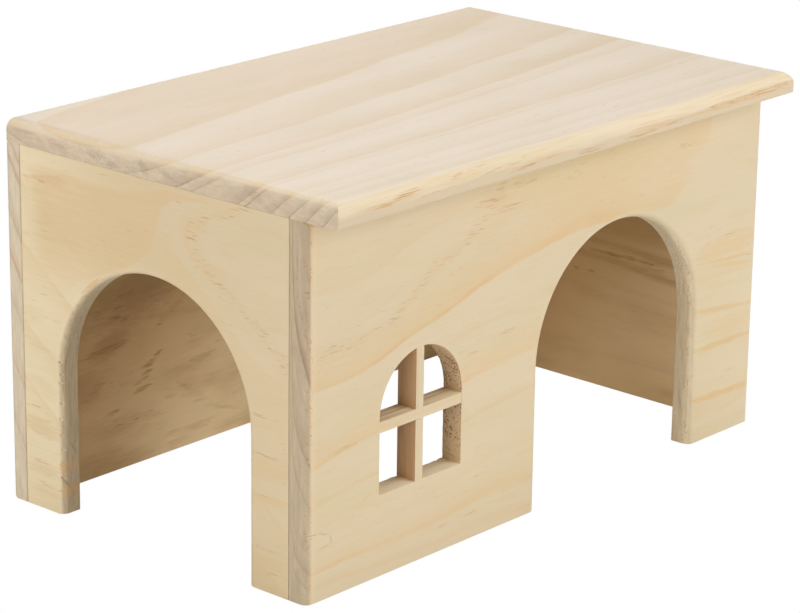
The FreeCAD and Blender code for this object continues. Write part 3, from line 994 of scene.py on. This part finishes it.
def left_end_pine(colours):
    """A pointed figure that opens towards the front, and a tan cloud above the doorway."""
    board = Board("left_end_pine", LEFT_END[LOW], Y, 3)
    inward = board.y + BEHIND_FRONT
    side = board.z - inward.times(0.2, 78)
    point = inward.times(0.56, side.times(side, 16).root())
    rings = board.rings(board.x.times(-1.5, point), LEFT_END_RINGS, 140, 0.03)
    drift = board.wander(5, 2.5)
    cloud = left_end_cloud(board, inward, drift)
    rings.late = rings.late * 0.8 | cloud * 0.7
    # A hook of dashes with a tan line inside it
    beside = drift.times(0.3, inward) - board.z.curve(HOOK, 110)
    low = board.z.step(55, 60)
    hook = beside.patch(-2.6, 2, 2.2, 2) * low
    rings.late |= beside.patch(1.2, 0.8, 3.2, 2.2) * board.z.step(70, 80, 0.25, 0.55)
    rings.late |= board.smudges(inward, board.z, LEFT_END_TANS, 1.4)
    marks = board.smudges(inward, board.z, LEFT_END_MARKS) | hook * 0.66
    rings.crowd = rings.crowd * 0.22 | marks
    rings.line |= marks * 0.3
    jamb = abs(board.normal[X]).step(0.6, 0.9, 1, 0)
    scratched = board.scratches(0.45)
    jamb *= board.smudges(board.z, board.x, END_JAMB_MARKS) | scratched
    spots = board.smudges(inward, board.z, END_ROUND_MARKS) * board.normal[X].step(-0.98, -0.9)
    tone = ((jamb * 0.6, colours.strip_line), (spots * 0.7, colours.line))
    early = inward.step(46, 99).blend(colours.early, colours.end_early)
    return board.finish(rings, colours, {"Early": early, "End": colours.jamb}, 0.3, 1, tone, 0.3)


def right_end_pine(colours):
    """Nearly level rings with a pale band between two crowded ones, on a board that is browner inside."""
    board = Board("right_end_pine", RIGHT_END[LOW], Y, 4)
    inward = board.y + BEHIND_FRONT
    slope = board.y.times(-0.03, board.z)
    lean = board.x.times(1.4, slope)
    rings = board.rings(lean + 2, RIGHT_END_RINGS, 110, 0.1, swing=5, teeth=2.5, edge=0.8)
    marks = board.smudges(inward, board.z, RIGHT_END_MARKS, 1.3)
    clouds = board.along.noise((32, 11, 11)).step(0.45, 0.8, 0, 0.45)
    top = board.z.step(43, 48, 0, 0.6)
    brown = clouds | marks * 0.6
    chain = slope.patch(35.5, 1.5, 42.5, 1)
    rings.late *= chain.step(0, 1, 0.3, 0.75)
    rings.late |= brown
    rings.late |= top
    rings.line *= 0.3
    rings.crowd = rings.crowd * 0.15 | marks
    inside = board.normal[X].step(-0.9, -0.5, 1, 0)
    # Painted light: the inner face pales low down and towards the front, where more light falls.
    pale = (board.z + board.y).step(40, 96, 1, 0)
    changes = inner_colours(colours, inside, pale, colours.painted_light_warm)
    return board.finish(rings, colours, changes, 0.2, 1, flames=0.1)


def roof_pine(colours):
    """Rings round a centre above the board, which run out along its length."""
    board = Board("roof_pine", ROOF[LOW], X, 5)
    slope = board.y.times(-0.00186, 0.0219)
    drift = board.x.times(slope, board.y)
    side = drift - 87.5
    height = board.z - 78
    radius = side.times(side, height * height).root()
    rings = board.rings(120 - radius, ROOF_RINGS, 60, 0.1, swing=1.2, teeth=0.5, edge=0.12, thin=0.25)
    # The end grain reaches further up the rounding towards the front
    upper = board.y.step(15, 90, 0.55, 0.76)
    board.end = abs(board.normal[X]).step(upper, upper + 0.24)
    top = board.normal[Z].step(0.9, 0.995)
    rings.line *= board.normal[Z].step(0.25, 0.7, 1, 0.3)
    far = board.y.step(30, 75, 0.45, 1)
    rings.late *= top.step(0, 1, 1, far)
    # The front edge is cut along one ring: pale above it, tan below
    wander = board.wander(2.4, 1)
    over = board.z + wander - board.x.times(0.004, 2.5)
    front = board.normal[Y].step(-0.5, -0.1, 1, 0)
    below = over.step(-0.6, 0.3, 1, 0)
    broken = board.along.noise((9, 3, 3)).step(0.45, 0.62, 0.1, 0.9)
    rim_line = over.patch(-0.25, 0.2, 0.15, 0.15) * broken
    rings.late = front.mix(rings.late, below * 0.45)
    rings.line = front.mix(rings.line, rim_line)
    marks = board.smudges(board.x, board.z, ROOF_FRONT_MARKS)
    ends = board.smudges(board.y, board.z, ROOF_END_MARKS, 1.4)
    rings.crowd = front.mix(rings.crowd, marks)
    pits = board.y.step(55, 66).times(0.3, 0.1)
    yellow = (front * 0.6).blend(colours.rim, colours.early)
    torn = board.along.noise((6, 0.3, 0.3))
    torn = marks * front * torn.step(0.48, 0.6)
    warm = board.smudges(board.x, board.z, ROOF_FRONT_TANS, 1.2) * front
    streaks = board.along.noise((14, 0.7, 0.7), 3).step(0.47, 0.68, 0, 0.55) * front
    tone = (
        (streaks, colours.warm_edge), (front * below * 0.55, colours.roof_end),
        (warm * 0.85, colours.warm_edge), (torn * 0.75, colours.fibre),
        (ends * board.end * 0.28, colours.roof_end_line),
    )
    changes = {
        # Painted sheen: the flat top's early wood takes the cooler, paler sheen colour.
        "Early": top.blend(yellow, colours.painted_sheen), "Late": top.blend(colours.late, colours.roof_late),
        "End": board.y.step(15, 75, 0, 0.45).blend(colours.roof_end, colours.rim),
        "End line": colours.roof_end_line,
    }
    return board.finish(rings, colours, changes, 0.4, 0.6, tone, pits, (1.1, 3, 1.1), 0.1)


def bar_pine(name, colours, box, grain, seed):
    """Plain straight grain for a glazing bar."""
    board = Board(name, box[LOW], grain, seed)
    late = board.along.noise((40, 1.2, 1.2)).step(0.45, 0.9)
    streaks = board.along.noise((18, 0.5, 0.5), 3)
    up_face = board.normal[Z].step(0.3, 0.8)
    low = up_face.step(0, 1, 0.78, 0.05)
    high = up_face.step(0, 1, 0.98, 0.6)
    brown = streaks.step(0.38, 0.62, low, high, "LINEAR")
    brown *= abs(board.normal[Y]).step(0.5, 0.8, 1, 0)
    rings = Rings(late, late * 0.3, late * 0.5)
    # Painted light: the bars' upward faces take the pale sill colour.
    return board.finish(rings, colours, {}, 0.2, tone=((up_face, colours.sill), (brown, colours.bar_side)))


# Operators

class HOUSE_OT_front_board(Operator):
    """Make the front board with its doorway and its window"""
    bl_idname = "house.front_board"
    bl_label = "Front board"

    def execute(self, context):
        sizes = context.scene.house_sizes
        board = add_block("front_wall", *FRONT)
        cut_doorway(board, Y, LEFT_FACE + sizes.front_doorway, FRONT_FACE, FRONT[HIGH].y, sizes)
        round_long_board(board, FRONT_FACE, sizes.end_round)
        ease_arrises(board, sizes.arris)
        cut(board, self.window_cutter(sizes))
        tear_edge(board, GOUGES, sizes.end_round, FRONT_FACE + sizes.end_round,
                  lambda reach, tilt: ((reach, 0.25, 0.15), (0, tilt, -40)))
        finish_piece(board, "front_board", front_pine(context.scene.pine_colours))
        return {"FINISHED"}

    def window_cutter(self, sizes):
        """Round-headed cutter whose far part is torn, as a saw leaves it"""
        cutter = add_window_cutter(sizes, sizes.window_sill)
        middle = LEFT_FACE + sizes.window_offset
        half = sizes.window_width / 2
        slice_finely(cutter, Z, sizes.window_sill, sizes.window_crown - half, SLICE)
        slice_finely(cutter, X, middle - half, middle + half, SLICE)
        slice_finely(cutter, Y, FRONT_FACE + LAYER, FRONT[HIGH].y + 3 * LAYER, LAYER)
        torn = cutter.vertex_groups.new(name="torn")
        for vertex in cutter.data.vertices:
            share = (vertex.co.y - FRONT_FACE - TEAR_START) / TEAR_GROWTH
            torn.add([vertex.index], max(0, min(1, share)), "REPLACE")
        clouds = bpy.data.textures.new("saw_tear", "CLOUDS")
        clouds.noise_scale = TEAR_SIZE
        clouds.noise_depth = 2
        apply_modifier(cutter, "DISPLACE", texture=clouds, strength=sizes.saw_tear, mid_level=0.5,
                       vertex_group="torn", texture_coords="LOCAL")
        return cutter


class HOUSE_OT_back_board(Operator):
    """Make the plain back board"""
    bl_idname = "house.back_board"
    bl_label = "Back board"

    def execute(self, context):
        sizes = context.scene.house_sizes
        board = add_block("back_wall", *BACK)
        round_long_board(board, BACK_FACE, sizes.end_round)
        ease_arrises(board, sizes.arris)
        finish_piece(board, "back_board", back_pine(context.scene.pine_colours))
        return {"FINISHED"}


class HOUSE_OT_end_boards(Operator):
    """Make the left end board with its doorway and the plain right end board"""
    bl_idname = "house.end_boards"
    bl_label = "End boards"

    def execute(self, context):
        sizes = context.scene.house_sizes
        colours = context.scene.pine_colours
        middle = (FRONT_FACE + BACK_FACE) / 2
        radius = sizes.doorway_round
        left = add_block("left_end_wall", *LEFT_END)
        cut_doorway(left, X, middle, LEFT_FACE, LEFT_END[HIGH].x, sizes)
        ease_arrises(left, sizes.arris)
        tear_edge(left, END_GOUGES, radius, middle + sizes.doorway_width / 2 + radius,
                  lambda reach, tilt: ((0.2, 1.3 * reach, 0.34), (tilt, 0, 45)))
        finish_piece(left, "left_end_board", left_end_pine(colours))
        right = add_block("right_end_wall", *RIGHT_END)
        ease_arrises(right, sizes.arris)
        finish_piece(right, "right_end_board", right_end_pine(colours))
        return {"FINISHED"}


class HOUSE_OT_roof_board(Operator):
    """Make the roof board with its rounded upper edges"""
    bl_idname = "house.roof_board"
    bl_label = "Roof board"

    def execute(self, context):
        sizes = context.scene.house_sizes
        low, high = ROOF
        board = add_block("roof", low, high)
        bevel_edges(board, lambda p: close(p.z, high.z), sizes.roof_round, 10)
        bevel_edges(board, lambda p: close(p.z, low.z) and close(p.y, low.y), sizes.roof_front_ease, 4)
        cut(board, self.upright_former(sizes, low, high), "INTERSECT")
        cut(board, self.ball_former(sizes, low, high), "INTERSECT")
        finish_piece(board, "roof_board", roof_pine(context.scene.pine_colours))
        return {"FINISHED"}

    def upright_former(self, sizes, low, high):
        """Block a little larger than the board, with its upright edges rounded"""
        out = 0.02 * MM
        left, right, near, far = low.x - out, high.x + out, low.y - out, high.y + out
        former = add_block("former", Vector((left, near, low.z - MM)), Vector((right, far, high.z + MM)))
        corners = (
            (left, far, sizes.roof_corner), (right, far, sizes.right_corner),
            (left, near, sizes.near_corners), (right, near, sizes.near_corners),
        )
        for x, y, radius in corners:
            bevel_edges(former, lambda p: close(p.x, x) and close(p.y, y), radius)
        return former

    def ball_former(self, sizes, low, high):
        """Block whose far left upper corner is rounded as a ball"""
        out = 0.2 * MM
        low = low - Vector((out, CLEAR, CLEAR))
        high = high + Vector((CLEAR, out, out))
        former = add_block("former", low, high)
        corner = (low.x, high.y, high.z)
        bevel_edges(former, lambda p: sum(close(a, b) for a, b in zip(p, corner)) > 1, sizes.roof_round, 10)
        return former


class HOUSE_OT_window_bars(Operator):
    """Make the two glazing bars, halved over each other"""
    bl_idname = "house.window_bars"
    bl_label = "Window bars"

    def execute(self, context):
        sizes = context.scene.house_sizes
        colours = context.scene.pine_colours
        halving = (UPRIGHT[LOW].y + UPRIGHT[HIGH].y) / 2
        upright = add_block("window_upright", *UPRIGHT)
        cut(upright, add_window_cutter(sizes, sizes.window_sill - MM), "INTERSECT")
        notch_low = Vector((UPRIGHT[LOW].x - MM, FRONT_FACE - MM, CROSS_BAR[LOW].z))
        notch_high = Vector((UPRIGHT[HIGH].x + MM, halving, CROSS_BAR[HIGH].z))
        cut(upright, add_block("notch", notch_low, notch_high))
        ease_arrises(upright, sizes.bar_arris)
        wood = bar_pine("upright_pine", colours, UPRIGHT, Z, 6)
        finish_piece(upright, "window_upright_bar", wood)
        cross = add_block("window_cross", *CROSS_BAR)
        notch_low = Vector((UPRIGHT[LOW].x, halving, CROSS_BAR[LOW].z - MM))
        notch_high = Vector((UPRIGHT[HIGH].x, FRONT[HIGH].y + MM, CROSS_BAR[HIGH].z + MM))
        cut(cross, add_block("notch", notch_low, notch_high))
        ease_arrises(cross, sizes.bar_arris)
        wood = bar_pine("cross_bar_pine", colours, CROSS_BAR, X, 7)
        finish_piece(cross, "window_cross_bar", wood)
        return {"FINISHED"}


class HOUSE_OT_studio(Operator):
    """Make the floor, the lights, the sky and the camera"""
    bl_idname = "house.studio"
    bl_label = "Studio"

    def execute(self, context):
        look = context.scene.studio_look
        deselect()
        bpy.ops.mesh.primitive_plane_add(size=8)
        floor = bpy.context.object
        floor.name = floor.data.name = "studio_floor"
        floor.data.materials.append(self.floor_material(look))
        self.add_sky(context, look)
        for name, bearing, height, tint in LIGHTS:
            self.add_light(name, bearing, height, getattr(look, name), tint)
        self.add_camera(context, look)
        return {"FINISHED"}

    def floor_material(self, look):
        """Pale floor that the lens sees as bright as the sky"""
        material, wiring = new_material("pale_floor")
        matt = wiring.make("BsdfDiffuse", {"Color": look.floor})
        bright = wiring.make("Emission", {"Color": (1, 1, 1, 1), "Strength": 1})
        lens = Value(wiring, wiring.node("LightPath").outputs["Is Camera Ray"])
        wiring.node("OutputMaterial", {0: wiring.make("MixShader", {0: lens, 1: matt, 2: bright})})
        return material

    def add_sky(self, context, look):
        """Even light from all round, plain white to the lens"""
        world = bpy.data.worlds.new("studio_sky")
        context.scene.world = world
        world.use_nodes = True
        world.node_tree.nodes.clear()
        wiring = Wiring(world.node_tree)
        lens = Value(wiring, wiring.node("LightPath").outputs["Is Camera Ray"])
        strength = lens.step(0, 1, look.sky, 1, "LINEAR")
        sky = wiring.make("Background", {"Color": (1, 1, 1, 1), "Strength": strength})
        wiring.node("OutputWorld", {0: sky})

    def add_light(self, name, bearing, height, watts, tint):
        """Square light that faces the house, by its bearing from the right end and its height in degrees"""
        light = bpy.data.lights.new(name + "_light", "AREA")
        light.size = LIGHT_SIZE
        light.energy = watts
        light.color = tint
        lamp = bpy.data.objects.new(name + "_light", light)
        turn, rise = math.radians(bearing), math.radians(height)
        way = Vector((math.cos(turn) * math.cos(rise), math.sin(turn) * math.cos(rise), math.sin(rise)))
        lamp.location = HOUSE_MIDDLE + way * LIGHT_DISTANCE
        lamp.rotation_mode = "QUATERNION"
        lamp.rotation_quaternion = (-way).to_track_quat("-Z", "Y")
        bpy.context.scene.collection.objects.link(lamp)

    def add_camera(self, context, look):
        """Camera above the near corner of the front and left end boards"""
        view = bpy.data.cameras.new("camera")
        view.lens = look.lens
        view.sensor_width = 36
        view.sensor_fit = "HORIZONTAL"
        view.clip_start = 0.01
        camera = bpy.data.objects.new("camera", view)
        turn = Matrix(CAMERA_SIDES).transposed().to_4x4()
        camera.matrix_world = Matrix.Translation(CAMERA_PLACE) @ turn
        context.scene.collection.objects.link(camera)
        context.scene.camera = camera
        context.scene.view_settings.view_transform = "Standard"


class HOUSE_PT_panel(Panel):
    """Sizes, colours and steps of the pine house"""
    bl_label = "Pine House"
    bl_idname = "HOUSE_PT_panel"
    bl_space_type = "VIEW_3D"
    bl_region_type = "UI"
    bl_category = "Pine House"

    def draw(self, context):
        for group in (context.scene.house_sizes, context.scene.pine_colours, context.scene.studio_look):
            for name in group.__annotations__:
                self.layout.prop(group, name)
        for step in STEPS:
            self.layout.operator(step.bl_idname)


STEPS = (
    HOUSE_OT_front_board, HOUSE_OT_back_board, HOUSE_OT_end_boards, HOUSE_OT_roof_board, HOUSE_OT_window_bars,
    HOUSE_OT_studio,
)
CLASSES = (HouseSizes, PineColours, StudioLook, *STEPS, HOUSE_PT_panel)


def register():
    for cls in CLASSES:
        bpy.utils.register_class(cls)
    bpy.types.Scene.house_sizes = PointerProperty(type=HouseSizes)
    bpy.types.Scene.pine_colours = PointerProperty(type=PineColours)
    bpy.types.Scene.studio_look = PointerProperty(type=StudioLook)


def unregister():
    del bpy.types.Scene.studio_look
    del bpy.types.Scene.pine_colours
    del bpy.types.Scene.house_sizes
    for cls in reversed(CLASSES):
        bpy.utils.unregister_class(cls)


def main():
    register()
    make_groups()
    bpy.ops.house.front_board()
    bpy.ops.house.back_board()
    bpy.ops.house.end_boards()
    bpy.ops.house.roof_board()
    bpy.ops.house.window_bars()
    bpy.ops.house.studio()


if __name__ == "__main__":
    main()
